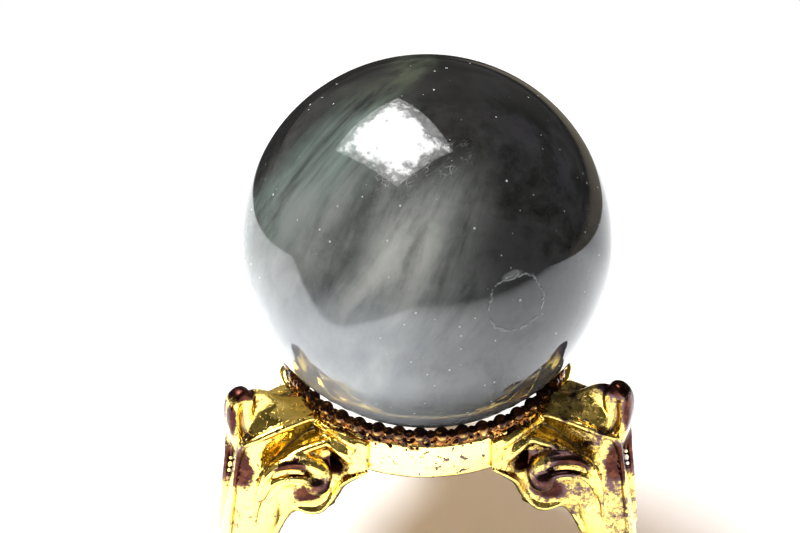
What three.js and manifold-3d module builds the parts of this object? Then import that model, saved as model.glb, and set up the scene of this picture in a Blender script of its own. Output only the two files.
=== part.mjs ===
// Gemstone sphere on a three-legged cast metal stand.
// Millimetres, +Z up. The stand is laid out round the ring's upright axis, with leg angles counted
// from the front (-Y). At the end the whole object moves so that the origin is the middle of its
// footprint, on the surface it stands on.

import * as THREE from "three";
import { mergeVertices } from "three/addons/utils/BufferGeometryUtils.js";
import Module from "manifold-3d";

const wasm = await Module();
wasm.setup();

// Driving dimensions
const ballRadius = 25;
const beadCount = 42;
const beadRadius = 0.95;
const beadCircleRadius = 18.8;
const ballSeatGap = 0.13;

const bandTopHeight = 31.4;
const bandHeight = 5.7;
const bandWall = 1.4;
const bandEdgeRound = 0.35;
const bandBulge = 0.15;

const carrierWidth = 1.3;
const carrierHeight = 0.8;
const beadSink = 0.35;

const legAngles = { front_left: -60, front_right: 60, back: 180 };
const legGap = 0.3;
const toeReach = 38;
const toeThickness = 4.6;
const soleCut = 0.7;
const ankleHeight = 6;
const ankleThickness = 4.8;
const footWidth = 8;
const shinWidth = 9;
const shinEdgeWidth = 3;
const rollThickness = 3.8;
const rollWidth = 2.6;
const rollGrooveWidth = 1.1;
const rollGrooveLength = 5.4;
const rollGrooveDepth = 0.5;

const scrollTubeRadius = 1.1;
const scrollBallRadius = 2;

const leafHalfAngle = 35;
const leafThickness = 1;
const leafDrop = 8.4;
const leafTopStep = 0.2;

const screwShankRadius = 1;
const screwLength = 6.4;
const screwHeadRadius = 1.8;
const screwHeadHeight = 1.2;
const screwHeadSink = 0.5;
const screwSlotWidth = 0.5;
const screwSlotDepth = 0.5;
const screwGap = 0.3;

// Facets of the round forms
const ballFacets = 44;
const ringFacets = 60;
const beadFacets = 6;
const spineSteps = 19;
const bracketSteps = 9;
const scrollFacets = 8;
const scrollSteps = 10;
const leafSteps = 14;
const screwFacets = 14;

// Sizes that follow
const ringInnerRadius = beadCircleRadius - bandWall / 2;
const ringOuterRadius = beadCircleRadius + bandWall / 2;
const bandBottomHeight = bandTopHeight - bandHeight;
const beadCentreHeight = bandTopHeight + carrierHeight + beadRadius - beadSink;
const seatReach = ballRadius + beadRadius + ballSeatGap;
const ballCentreHeight = beadCentreHeight + Math.sqrt(seatReach ** 2 - beadCircleRadius ** 2);
const legRootRadius = ringOuterRadius + legGap;
const screwHeight = bandTopHeight - bandHeight / 2;
const screwHeadSeat = ringInnerRadius + screwHeadSink;
const axisSetback = (toeReach - ballRadius) / 2;

// Finishes
const stoneFinish = new THREE.MeshStandardMaterial({ color: 0x33393a, roughness: 0.06, metalness: 0 });
const goldFinish = new THREE.MeshStandardMaterial({ color: 0xd9ad45, roughness: 0.18, metalness: 1 });
const tarnishFinish = new THREE.MeshStandardMaterial({ color: 0x3a2417, roughness: 0.4, metalness: 1 });
const screwFinish = new THREE.MeshStandardMaterial({ color: 0xb08d57, roughness: 0.35, metalness: 1 });

// Solids: joining and cutting closed meshes

function mergedOf(geometry) {
  const bare = geometry.clone();
  bare.deleteAttribute("normal");
  bare.deleteAttribute("uv");
  return mergeVertices(bare, 1e-5);
}

function solidOf(geometry) {
  const merged = mergedOf(geometry);
  const mesh = new wasm.Mesh({
    numProp: 3,
    vertProperties: new Float32Array(merged.attributes.position.array),
    triVerts: new Uint32Array(merged.index.array),
  });
  return new wasm.Manifold(mesh);
}

function geometryOf(solid) {
  const mesh = solid.getMesh();
  const geometry = new THREE.BufferGeometry();
  geometry.setAttribute("position", new THREE.BufferAttribute(mesh.vertProperties, 3));
  geometry.setIndex(new THREE.BufferAttribute(mesh.triVerts, 1));
  geometry.computeVertexNormals();
  return geometry;
}

function joined(solids) {
  return solids.reduce((sum, solid) => sum.add(solid));
}

// A closed body through rings of points, each ring running the same way round
function loft(rings) {
  const count = rings[0].length;
  const points = rings.flat();
  const firstMiddle = points.length;
  const lastMiddle = firstMiddle + 1;
  points.push(middleOf(rings[0]), middleOf(rings[rings.length - 1]));
  const faces = [];
  for (let i = 0; i + 1 < rings.length; i += 1) {
    for (let j = 0; j < count; j += 1) {
      const a = i * count + j;
      const b = i * count + ((j + 1) % count);
      faces.push(a, b, b + count, a, b + count, a + count);
    }
  }
  const lastStart = (rings.length - 1) * count;
  for (let j = 0; j < count; j += 1) {
    const next = (j + 1) % count;
    faces.push(firstMiddle, next, j);
    faces.push(lastMiddle, lastStart + j, lastStart + next);
  }
  const geometry = new THREE.BufferGeometry();
  geometry.setFromPoints(points);
  geometry.setIndex(faces);
  return outward(geometry);
}

function middleOf(ring) {
  const sum = ring.reduce((total, point) => total.add(point), new THREE.Vector3());
  return sum.divideScalar(ring.length);
}

// The body of a closed geometry, with its faces turned round where its volume comes out negative
function outward(geometry) {
  const solid = solidOf(geometry);
  if (solid.volume() > 0) {
    return solid;
  }
  const order = Array.from(geometry.index.array);
  for (let i = 0; i < order.length; i += 3) {
    [order[i], order[i + 1]] = [order[i + 1], order[i]];
  }
  geometry.setIndex(order);
  return solidOf(geometry);
}

// A smooth run of rows through chosen stations, column by column
function smoothStations(stations, steps) {
  const curves = stations[0].map((_, column) => {
    const points = stations.map((station, i) => new THREE.Vector3(i, station[column], 0));
    return new THREE.CatmullRomCurve3(points, false, "centripetal");
  });
  const rows = [];
  for (let i = 0; i <= steps; i += 1) {
    rows.push(curves.map((curve) => curve.getPoint(i / steps).y));
  }
  return rows;
}

// Leg frame: x is the reach from the ring's axis, y the side, z the height

function underTop(drop) {
  return bandTopHeight - drop;
}

function outOfRing(distance) {
  return ringOuterRadius + distance;
}

// The leg's body, from the tip of the toe up to the roll at the top. It is a prow in section: a narrow
// outer edge and a wide back.
function spineBody() {
  const toeHeight = toeThickness / 2 - soleCut;
  // Reach, height, thickness, width of the outer edge, width of the back
  const stations = [
    [toeReach, toeHeight + 0.4, 1, 2.4, 2.4],
    [toeReach - 0.8, toeHeight + 0.3, toeThickness - 1, 6, 6],
    [toeReach - 3, toeHeight, toeThickness, 6.4, footWidth],
    [outOfRing(13.2), ankleHeight - 2.7, ankleThickness, 5, footWidth],
    [outOfRing(12), ankleHeight, ankleThickness, 4, 7.6],
    [outOfRing(11.4), ankleHeight + 3, 5.1, shinEdgeWidth, 8],
    [outOfRing(10.6), underTop(19.2), 5.8, shinEdgeWidth, 8.5],
    [outOfRing(9.9), underTop(16.9), 6.3, shinEdgeWidth, shinWidth],
    [outOfRing(9.1), underTop(13.4), 6.5, shinEdgeWidth, shinWidth],
    [outOfRing(8.4), underTop(9.4), 6.3, shinEdgeWidth, 8.4],
    [outOfRing(8.3), underTop(6.4), 5.2, shinEdgeWidth, 7],
    [outOfRing(8.6), underTop(4.1), 4.3, shinEdgeWidth, 5.4],
    [outOfRing(9.2), underTop(2.1), 3.8, shinEdgeWidth, 4],
    [outOfRing(9.7), underTop(-0.8), rollThickness, rollWidth, rollWidth],
    [outOfRing(9.6), underTop(-3.6), rollThickness, rollWidth, rollWidth],
    [outOfRing(9), underTop(-5.2), 3, 2, 2.2],
    [outOfRing(8.5), underTop(-5.9), 0.8, 1.2, 1.2],
  ];
  const run = smoothStations(stations, spineSteps);
  const rings = run.map(([reach, height, thick, edgeWidth, backWidth], i) => {
    const [reachBefore, heightBefore] = run[Math.max(i - 1, 0)];
    const [reachAfter, heightAfter] = run[Math.min(i + 1, run.length - 1)];
    const outwards = new THREE.Vector3(heightAfter - heightBefore, 0, reachBefore - reachAfter).normalize();
    return prowSection(thick, edgeWidth, backWidth).map(([across, side]) => {
      const point = outwards.clone().multiplyScalar(across);
      return point.add(new THREE.Vector3(reach, side, height));
    });
  });
  return loft(rings);
}

// Half a leg section's outline and its mirror image, as pairs of depth and side
function prowSection(thick, edge, back) {
  const half = thick / 2;
  const nearSide = [
    [half * 0.97, edge * 0.3],
    [half * 0.8, edge * 0.5],
    [half * 0.25, edge * 0.25 + back * 0.25],
    [-half * 0.35, edge * 0.08 + back * 0.42],
    [-half * 0.8, back * 0.46],
    [-half, back * 0.3],
  ];
  const farSide = nearSide.map(([across, side]) => [across, -side]).reverse();
  return [...nearSide, ...farSide];
}

// The bracket between ring and roll: a gabled top, an upper ridge, a flute, a lower ridge and a plate
function bracketBody() {
  // Distance out of the ring; drop of the crest; side and drop of the upper ridge; drop of the flute;
  // side and drop of the lower ridge; side of the plate; drop of the keel
  const stations = [
    [-4.2, -1, 4, -0.3, 2, 6.8, 2.2, 6.4, 13.2],
    [-0.2, -1.2, 3.8, -0.5, 1.8, 6.6, 2.2, 6.4, 14],
    [1.6, -1.6, 3.6, -0.5, 2, 6, 2.5, 6, 14.5],
    [3.2, -2.6, 3.4, -0.5, 2.4, 5.5, 2.9, 5.5, 14],
    [4.6, -3.8, 3.2, -0.2, 3.4, 5.2, 3.5, 5, 14],
    [5.6, -4.5, 3, 0, 4.2, 5, 4, 4.6, 15.2],
    [6.7, -5, 2.8, 0.3, 5.2, 4.8, 4.6, 3.9, 16.4],
    [7.9, -5.2, 2.5, 0.6, 7.2, 4.6, 5.4, 3.4, 16],
    [9.1, -3.8, 2.2, 1, 8.5, 3.9, 8.2, 2.8, 15],
  ];
  const rings = smoothStations(stations, bracketSteps).map((row) => {
    const [out, crest, highSide, high, flute, lowSide, low, plate, keel] = row;
    const fluteSide = highSide * 0.5 + Math.min(highSide, lowSide) * 0.45;
    const nearSide = [
      [0.7, crest],
      [highSide * 0.5, crest * 0.65 + high * 0.35],
      [highSide - 0.4, high + 0.1],
      [highSide, high + 0.2],
      [fluteSide, flute],
      [lowSide - 0.8, low - 0.5],
      [lowSide, low],
      [plate, low + 1.6],
      [plate, keel - 1],
      [plate - 1, keel],
    ];
    const farSide = nearSide.map(([side, drop]) => [-side, drop]).reverse();
    return [...nearSide, ...farSide].map(
      ([side, drop]) => new THREE.Vector3(outOfRing(out), side, underTop(drop)),
    );
  });
  return loft(rings);
}

// A scroll on one side of the leg: a rolled edge that climbs, turns over and ends in a ball
function scrollBody(hand) {
  // Distance out of the ring, side and drop of each point, from the shin to the ball's middle
  const route = [
    [9.6, 4, 11],
    [9, 4.3, 7.8],
    [7.9, 4.7, 5.2],
    [6.3, 5.3, 4],
    [4.5, 6, 3.9],
    [2.6, 6.8, 4.6],
    [1.3, 7.3, 6.3],
    [2.4, 7, 8.1],
  ];
  const points = route.map(
    ([out, side, drop]) => new THREE.Vector3(outOfRing(out), hand * side, underTop(drop)),
  );
  const section = new THREE.Shape();
  section.absarc(0, 0, scrollTubeRadius, 0, 2 * Math.PI);
  const tube = new THREE.ExtrudeGeometry(section, {
    steps: scrollSteps,
    curveSegments: scrollFacets / 2,
    extrudePath: new THREE.CatmullRomCurve3(points),
    bevelEnabled: false,
  });
  const ball = new THREE.SphereGeometry(scrollBallRadius, scrollFacets + 2, scrollFacets);
  ball.translate(...points.at(-1).toArray());
  return solidOf(tube).add(solidOf(ball));
}

// The leaf at the leg's root, which hugs the ring in two lobes and drops towards the scrolls
function leafBody() {
  const rings = [];
  for (let i = 0; i <= leafSteps; i += 1) {
    const share = (2 * i) / leafSteps - 1;
    const turn = THREE.MathUtils.degToRad(leafHalfAngle * share);
    const rise = 1 - Math.abs(share);
    const thickness = leafThickness * (0.35 + 0.65 * THREE.MathUtils.smoothstep(rise, 0.25, 0.7));
    const low = bandBottomHeight + 0.3 - leafDrop * THREE.MathUtils.smoothstep(rise, 0.03, 0.63);
    const high = bandTopHeight - leafTopStep;
    const profile = [
      [-1 / thickness, low],
      [0.3, low],
      [0.6, low + 0.5],
      [0.5, underTop(4)],
      [0.95, underTop(2.8)],
      [0.35, underTop(1.7)],
      [0.95, underTop(0.7)],
      [0.3, high],
      [-1 / thickness, high],
    ];
    rings.push(
      profile.map(([level, z]) => {
        const radius = legRootRadius + thickness * level;
        return new THREE.Vector3(radius * Math.cos(turn), radius * Math.sin(turn), z);
      }),
    );
  }
  return loft(rings);
}

// A long drop-shaped hollow in each cheek of the roll
function rollGroove(hand) {
  const hollow = new THREE.SphereGeometry(1, 10, 8);
  hollow.scale(rollGrooveWidth / 2, rollGrooveDepth, rollGrooveLength / 2);
  hollow.translate(outOfRing(9.5), (hand * rollWidth) / 2, underTop(-2));
  return solidOf(hollow);
}

function uprightCylinder(radius, low, high, facets) {
  const cylinder = new THREE.CylinderGeometry(radius, radius, high - low, facets);
  cylinder.rotateX(Math.PI / 2);
  cylinder.translate(0, 0, (high + low) / 2);
  return solidOf(cylinder);
}

// A cylinder that lies along the leg's reach
function reachCylinder(radius, from, to) {
  const cylinder = new THREE.CylinderGeometry(radius, radius, to - from, screwFacets);
  cylinder.rotateZ(-Math.PI / 2);
  cylinder.translate((from + to) / 2, 0, screwHeight);
  return solidOf(cylinder);
}

function legSolid() {
  const body = joined([
    spineBody(),
    bracketBody(),
    leafBody(),
    scrollBody(1),
    scrollBody(-1),
  ]);
  const ringRoom = uprightCylinder(legRootRadius, ankleHeight, bandTopHeight + 10, ringFacets);
  const floorRoom = solidOf(new THREE.BoxGeometry(200, 200, 20).translate(0, 0, -10));
  const tappedHole = reachCylinder(
    screwShankRadius + screwGap,
    ringInnerRadius,
    screwHeadSeat + screwLength + screwGap,
  );
  return [ringRoom, floorRoom, rollGroove(1), rollGroove(-1), tappedHole].reduce(
    (left, cut) => left.subtract(cut),
    body,
  );
}

// The ring: a plain band with a flat top, and a counterbored hole behind each leg
function ringSolid() {
  const middleHeight = (bandTopHeight + bandBottomHeight) / 2;
  const profile = [
    [ringInnerRadius, bandBottomHeight + bandEdgeRound],
    [ringInnerRadius + bandEdgeRound, bandBottomHeight],
    [ringOuterRadius - bandBulge - bandEdgeRound, bandBottomHeight],
    [ringOuterRadius - bandBulge, bandBottomHeight + bandEdgeRound],
    [ringOuterRadius, middleHeight],
    [ringOuterRadius - bandBulge, bandTopHeight - bandEdgeRound],
    [ringOuterRadius - bandBulge - bandEdgeRound, bandTopHeight],
    [ringInnerRadius + bandEdgeRound, bandTopHeight],
    [ringInnerRadius, bandTopHeight - bandEdgeRound],
  ];
  profile.push(profile[0]);
  let ring = latheSolid(profile, ringFacets);
  for (const angle of Object.values(legAngles)) {
    const shankHole = reachCylinder(screwShankRadius + screwGap, ringInnerRadius - 1, ringOuterRadius + 1);
    const headEnd = screwHeadSeat + screwGap;
    const headRoom = reachCylinder(screwHeadRadius + screwGap, ringInnerRadius - 1, headEnd);
    ring = ring.subtract(turned(shankHole.add(headRoom), angle));
  }
  return ring;
}

function latheSolid(profile, facets) {
  const outline = profile.map(([radius, z]) => new THREE.Vector2(radius, z));
  const lathe = new THREE.LatheGeometry(outline, facets);
  lathe.rotateX(Math.PI / 2);
  return outward(mergedOf(lathe));
}

// Turns a leg-frame solid about the ring's axis to a leg angle counted from the front
function turned(solid, angle) {
  return solid.rotate([0, 0, angle - 90]);
}

// The beaded rim: a flat carrier with one bead after another fused to it
function beadRimSolid() {
  const inner = beadCircleRadius - carrierWidth / 2;
  const outer = beadCircleRadius + carrierWidth / 2;
  const top = bandTopHeight + carrierHeight;
  const carrier = latheSolid(
    [
      [inner, bandTopHeight],
      [outer, bandTopHeight],
      [outer, top - 0.2],
      [outer - 0.3, top],
      [inner + 0.3, top],
      [inner, top - 0.2],
      [inner, bandTopHeight],
    ],
    ringFacets,
  );
  const beads = [];
  for (let i = 0; i < beadCount; i += 1) {
    const turn = (2 * Math.PI * i) / beadCount;
    const bead = new THREE.SphereGeometry(beadRadius, beadFacets, beadFacets - 2);
    bead.rotateX(Math.PI / 2);
    bead.translate(beadCircleRadius * Math.cos(turn), beadCircleRadius * Math.sin(turn), beadCentreHeight);
    beads.push(solidOf(bead));
  }
  return joined([carrier, ...beads]);
}

function screwSolid() {
  const head = reachCylinder(screwHeadRadius, screwHeadSeat - screwHeadHeight, screwHeadSeat);
  const shank = reachCylinder(screwShankRadius, screwHeadSeat - 0.1, screwHeadSeat + screwLength);
  const slot = new THREE.BoxGeometry(screwSlotDepth * 2, screwHeadRadius * 3, screwSlotWidth);
  slot.translate(screwHeadSeat - screwHeadHeight, 0, screwHeight);
  return head.add(shank).subtract(solidOf(slot));
}

// Assembly

const object = new THREE.Group();
object.position.y = -axisSetback;

function addPiece(name, geometry, finish) {
  const piece = new THREE.Mesh(geometry, finish);
  piece.name = name;
  object.add(piece);
  return piece;
}

const ball = new THREE.SphereGeometry(ballRadius, ballFacets, ballFacets / 2).rotateX(Math.PI / 2);
addPiece("gem_sphere", ball, stoneFinish).position.z = ballCentreHeight;
addPiece("seat_ring", geometryOf(ringSolid()), goldFinish);
addPiece("bead_rim", geometryOf(beadRimSolid()), tarnishFinish);

const leg = legSolid();
const screw = screwSolid();
for (const [place, angle] of Object.entries(legAngles)) {
  addPiece(`leg_${place}`, geometryOf(turned(leg, angle)), goldFinish);
  addPiece(`leg_screw_${place}`, geometryOf(turned(screw, angle)), screwFinish);
}

export default object;
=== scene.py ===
"""A polished stone ball on a cast gold stand: a beaded ring on three scroll legs.

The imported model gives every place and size. The pieces made here stand for its solids with their
cast detail, and the materials give the stone and the tarnished gilding.
"""

import math
import random

import bmesh
import bpy
import numpy as np
from bpy.props import FloatProperty, FloatVectorProperty, IntProperty, PointerProperty
from mathutils import Matrix, Vector, noise


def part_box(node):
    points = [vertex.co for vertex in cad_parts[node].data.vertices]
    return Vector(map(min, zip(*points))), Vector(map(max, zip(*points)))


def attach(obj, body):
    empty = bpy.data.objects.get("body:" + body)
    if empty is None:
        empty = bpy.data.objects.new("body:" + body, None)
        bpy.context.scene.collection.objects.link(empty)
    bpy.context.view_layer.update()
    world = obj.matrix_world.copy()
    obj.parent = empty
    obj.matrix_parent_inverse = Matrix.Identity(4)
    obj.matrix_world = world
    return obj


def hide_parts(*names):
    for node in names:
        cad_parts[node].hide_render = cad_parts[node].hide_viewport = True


bl_info = {
    "name": "Stone Ball on Scroll Stand",
    "version": (1, 0, 0),
    "blender": (4, 5, 0),
    "location": "View3D > Sidebar > Ornament",
    "description": "Builds a polished stone ball on a cast gold stand with scroll legs",
    "category": "Add Mesh",
}

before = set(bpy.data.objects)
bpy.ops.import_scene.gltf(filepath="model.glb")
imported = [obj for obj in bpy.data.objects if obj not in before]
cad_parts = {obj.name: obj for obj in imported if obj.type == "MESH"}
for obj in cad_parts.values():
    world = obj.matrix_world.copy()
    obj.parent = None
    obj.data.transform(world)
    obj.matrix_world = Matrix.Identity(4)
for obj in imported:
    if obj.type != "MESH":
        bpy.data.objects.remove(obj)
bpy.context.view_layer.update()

MM = 0.001
BALL_LOW, BALL_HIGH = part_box("gem_sphere")
RING_LOW, RING_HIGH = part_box("seat_ring")
BEADS_LOW, BEADS_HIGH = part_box("bead_rim")
SCREW_LOW, SCREW_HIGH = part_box("leg_screw_back")
BALL_CENTRE = (BALL_LOW + BALL_HIGH) / 2
AXIS = Vector((BALL_CENTRE.x, BALL_CENTRE.y, 0))
LEG_TURNS = {"leg_front_left": -150, "leg_front_right": -30, "leg_back": 90}
SCREW_TURNS = {"leg_screw_front_left": -150, "leg_screw_front_right": -30, "leg_screw_back": 90}

# The radius of the circle through the beads' middles, and the beads in the part that is repeated
BEAD_CIRCLE = 0.0188
BEADS_IN_CELL = 6

# The height of a full ridge: on the ring and the beads in metres, on a leg in millimetres
RING_RELIEF = 0.00006
LEG_RELIEF = 0.14

# Where the photograph was taken from
VIEW_ELEVATION = math.radians(33.8)
VIEW_AZIMUTH = math.radians(-1.5)


# Settings


def length_setting(name, description, default):
    return FloatProperty(
        name=name, description=description, default=default, subtype="DISTANCE", unit="LENGTH"
    )


def power_setting(name, description, default):
    return FloatProperty(
        name=name, description=description, default=default, subtype="POWER", unit="POWER"
    )


def colour_setting(name, description, default):
    return FloatVectorProperty(name=name, description=description, default=default, subtype="COLOR")


class StageSettings(bpy.types.PropertyGroup):
    """The camera and the light"""

    camera_distance: length_setting("Camera Distance", "From the camera to the middle of the ball", 0.25)
    focal_length: FloatProperty(name="Focal Length", description="Lens in millimetres", default=83.73)
    key_power: power_setting("Key Lamp", "Power of the lamp that lights", 4.3)
    softbox_power: power_setting("Softbox", "Power of the lamp seen in gloss", 19.5)
    room_light: FloatProperty(name="Room Light", description="Strength of the even light", default=0.34)


class BallSettings(bpy.types.PropertyGroup):
    """The stone ball"""

    radius: length_setting("Radius", "Radius of the stone ball", (BALL_HIGH.x - BALL_LOW.x) / 2)
    smoke: colour_setting("Smoke", "Colour of the dark stone", (0.0125, 0.012, 0.0115))
    cloud_with_painted_light: colour_setting("Cloud", "Colour of the bright clouds", (0.62, 0.62, 0.57))
    haze: colour_setting("Haze", "Colour of the thin clouds", (0.27, 0.28, 0.265))
    fibre: colour_setting("Fibre", "Colour of the silky fibres", (0.165, 0.21, 0.185))
    moss: colour_setting("Moss", "Colour of the fibres near the top", (0.06, 0.068, 0.046))


class RingSettings(bpy.types.PropertyGroup):
    """The band and its beads"""

    radius: length_setting("Radius", "Outer radius of the band", RING_HIGH.x)
    wall: length_setting("Wall", "Thickness of the band", 0.0014)
    bead_count: IntProperty(name="Beads", description="Beads in the rim", default=42, min=3)
    bead_radius: length_setting("Bead Radius", "Radius of one bead", BEADS_HIGH.x - BEAD_CIRCLE)


class LegSettings(bpy.types.PropertyGroup):
    """The scroll legs"""

    grain: FloatProperty(
        name="Grain",
        description="Size of the smallest cast detail, in millimetres",
        default=0.19,
        min=0.1,
    )
    gold: colour_setting("Gold", "Colour of the clean gilding", (1.0, 0.74, 0.2))
    tarnish: colour_setting("Tarnish", "Colour of the tarnish", (0.105, 0.06, 0.062))


# Shared tools for meshes


def smooth_rows(rows, steps):
    """Rows of numbers on a smooth curve through the given rows, with that many steps to each gap."""
    table = np.array(rows, float)
    padded = np.vstack([2 * table[0] - table[1], table, 2 * table[-1] - table[-2]])
    run = []
    for a, b, c, d in zip(padded, padded[1:], padded[2:], padded[3:]):
        for share in np.arange(steps) / steps:
            bend = (2 * a - 5 * b + 4 * c - d) * share**2 + (3 * b - a - 3 * c + d) * share**3
            run.append((2 * b + (c - a) * share + bend) / 2)
    run.append(table[-1])
    return run


def loft(mesh, rings):
    """A closed body through rings of points, made by extruding one face from ring to ring."""
    face = mesh.faces.new([mesh.verts.new(point) for point in rings[0]])
    edges = list(face.edges)
    for ring in rings[1:]:
        face = bmesh.ops.extrude_discrete_faces(mesh, faces=[face])["faces"][0]
        for vert, point in zip(face.verts, ring):
            vert.co = point
    rim = [edge for edge in edges if edge.is_valid and edge.is_boundary]
    bmesh.ops.holes_fill(mesh, edges=rim, sides=0)


def tube(mesh, route, radii, sides=12, steps=6):
    """A round bar along a smooth route, with its own radius at each point and round ends."""
    rows = smooth_rows([(*point, radius) for point, radius in zip(route, radii)], steps)
    points = [Vector(row[:3]) for row in rows]
    rings = []
    across = (points[1] - points[0]).orthogonal()
    for index, point in enumerate(points):
        run = points[min(index + 1, len(points) - 1)] - points[max(index - 1, 0)]
        run.normalize()
        across = (across - run * across.dot(run)).normalized()
        other = run.cross(across)
        radius = rows[index][3]
        turns = [2 * math.pi * side / sides for side in range(sides)]
        rings.append([point + (across * math.cos(t) + other * math.sin(t)) * radius for t in turns])
    loft(mesh, rings)
    for point, row in ((points[0], rows[0]), (points[-1], rows[-1])):
        knob(mesh, point, row[3])


def knob(mesh, centre, radius, detail=3):
    """A round lump."""
    place = Matrix.Translation(centre)
    bmesh.ops.create_icosphere(mesh, subdivisions=detail, radius=radius, matrix=place)


def cylinder(mesh, radius, low, high, segments):
    """An upright cylinder round the Z axis."""
    return bmesh.ops.create_cone(
        mesh,
        cap_ends=True,
        segments=segments,
        radius1=radius,
        radius2=radius,
        depth=high - low,
        matrix=Matrix.Translation((0, 0, (low + high) / 2)),
    )["verts"]


def block(mesh, size, middle=(0, 0, 0)):
    place = Matrix.Translation(middle) @ Matrix.Diagonal((*size, 1))
    bmesh.ops.create_cube(mesh, size=1, matrix=place)


def mesh_of(shape, name):
    """Turns a bmesh into a mesh and frees it."""
    mesh = bpy.data.meshes.new(name)
    shape.to_mesh(mesh)
    shape.free()
    return mesh


def evaluated_mesh(shape, name, add_modifiers):
    """The mesh that a bmesh becomes once some modifiers have been applied."""
    bmesh.ops.recalc_face_normals(shape, faces=shape.faces)
    source = mesh_of(shape, name)
    carrier = bpy.data.objects.new(name, source)
    bpy.context.scene.collection.objects.link(carrier)
    helpers = add_modifiers(carrier) or []
    bpy.context.view_layer.update()
    graph = bpy.context.evaluated_depsgraph_get()
    result = bpy.data.meshes.new_from_object(carrier.evaluated_get(graph))
    for spare in [carrier, *helpers]:
        data = spare.data
        bpy.data.objects.remove(spare)
        bpy.data.meshes.remove(data)
    return result


def fuse(carrier, grain, rounds):
    """Joins overlapping bodies into one cast skin and softens its corners."""
    skin = carrier.modifiers.new("Fuse", "REMESH")
    skin.mode = "VOXEL"
    skin.voxel_size = grain
    soften = carrier.modifiers.new("Soften", "SMOOTH")
    soften.factor = 0.5
    soften.iterations = rounds


def cut_away(carrier, shape, name, use_self=False):
    """Takes a closed shape away from the carrier and returns the object that cuts."""
    cutter = bpy.data.objects.new(name, mesh_of(shape, name))
    bpy.context.scene.collection.objects.link(cutter)
    cut = carrier.modifiers.new(name, "BOOLEAN")
    cut.operation = "DIFFERENCE"
    cut.solver = "EXACT"
    cut.use_self = use_self
    cut.object = cutter
    return cutter


def smooth_step(value, low, high):
    """0 below the low value, 1 above the high one, and a soft step in between."""
    share = np.clip((value - low) / (high - low), 0, 1)
    return share * share * (3 - 2 * share)


def ellipsoid_closeness(points, centre, halves):
    """1 in the middle of an ellipsoid and 0 outside it, falling off smoothly."""
    distance = np.linalg.norm((points - np.array(centre)) / np.array(halves), axis=1)
    return smooth_step(1 - distance, 0, 1)


def listed(collection, key, width, kind=np.float32):
    """A table of what each member of a mesh holds under a key."""
    flat = np.empty(len(collection) * width, kind)
    collection.foreach_get(key, flat)
    return flat.reshape(-1, width)


def positions(mesh):
    return listed(mesh.vertices, "co", 3).astype(float)


def set_positions(mesh, points):
    mesh.vertices.foreach_set("co", points.astype(np.float32).ravel())
    mesh.update()


def normals(mesh):
    return listed(mesh.vertex_normals, "vector", 3).astype(float)


def neighbour_mean(values, ends, count):
    """Each vertex's mean of its neighbours' values."""
    total = np.zeros((count, values.shape[1]))
    links = np.zeros(count)
    for here, there in ((ends[:, 0], ends[:, 1]), (ends[:, 1], ends[:, 0])):
        np.add.at(total, here, values[there])
        np.add.at(links, here, 1)
    return total / np.maximum(links, 1)[:, None]


def store_mark(mesh, name, values):
    mesh.attributes.new(name, "FLOAT", "POINT").data.foreach_set("value", values.astype(np.float32))


def mark_ridges(mesh, full):
    """Stores how far each vertex stands out of its surroundings, from 0 in a hollow to 1 on a ridge."""
    points = positions(mesh)
    count = len(points)
    ends = listed(mesh.edges, "vertices", 2, np.int32)
    calm = points
    for _ in range(8):
        calm = neighbour_mean(calm, ends, count)
    stand = np.einsum("ij,ij->i", points - calm, normals(mesh))[:, None]
    for _ in range(2):
        stand = neighbour_mean(stand, ends, count)
    store_mark(mesh, "ridge", np.clip(0.5 + stand[:, 0] / (2 * full), 0, 1))


def mark_places(mesh, spots):
    """Stores how close each vertex is to the middle of the nearest ellipsoid, from 0 outside them all."""
    points = positions(mesh)
    values = np.zeros(len(points))
    for centre, halves in spots:
        values = np.maximum(values, ellipsoid_closeness(points, centre, halves))
    store_mark(mesh, "bloom", values)


def add_piece(name, mesh, node, body, material):
    """Puts a finished mesh into the scene in place of a CAD node."""
    mesh.polygons.foreach_set("use_smooth", [True] * len(mesh.polygons))
    mesh.update()
    piece = bpy.data.objects.new(name, mesh)
    bpy.context.scene.collection.objects.link(piece)
    mesh.materials.clear()
    mesh.materials.append(material)
    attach(piece, body)
    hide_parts(node)
    return piece


def round_axis(turn):
    """Turned about the upright axis of the ring, in degrees, and moved to it."""
    return Matrix.Translation(AXIS) @ Matrix.Rotation(math.radians(turn), 4, "Z")


def leg_place(turn):
    """From the leg frame in millimetres to the object's place in metres."""
    return round_axis(turn) @ Matrix.Scale(MM, 4)


# Shared tools for materials


def set_inputs(node, inputs):
    """Gives each input its value, or its link where a socket is given."""
    for name, value in inputs.items():
        socket = node.inputs[name]
        if isinstance(value, bpy.types.NodeSocket):
            node.id_data.links.new(value, socket)
        else:
            socket.default_value = (*value, 1) if socket.type == "RGBA" else value


def add_node(kind, inputs, tree=None, **settings):
    """A node in the given tree, or else in the one that its inputs are linked from."""
    if tree is None:
        tree = next(each.id_data for each in inputs.values() if isinstance(each, bpy.types.NodeSocket))
    made = tree.nodes.new(kind)
    for name, value in settings.items():
        setattr(made, name, value)
    set_inputs(made, inputs)
    return made


def calculate(operation, *values, clamp=False):
    inputs = dict(enumerate(values))
    return add_node("ShaderNodeMath", inputs, operation=operation, use_clamp=clamp).outputs[0]


def product(first, *others, clamp=False):
    for other in others:
        first = calculate("MULTIPLY", first, other, clamp=clamp)
    return first


def weighted(value, weight, base):
    """The base plus the value times its weight."""
    return calculate("MULTIPLY_ADD", value, weight, base)


def step_between(value, low, high):
    """0 below the low value, 1 above the high one, and a soft step in between."""
    inputs = {"Value": value, "From Min": low, "From Max": high}
    return add_node("ShaderNodeMapRange", inputs, interpolation_type="SMOOTHSTEP").outputs[0]


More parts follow.
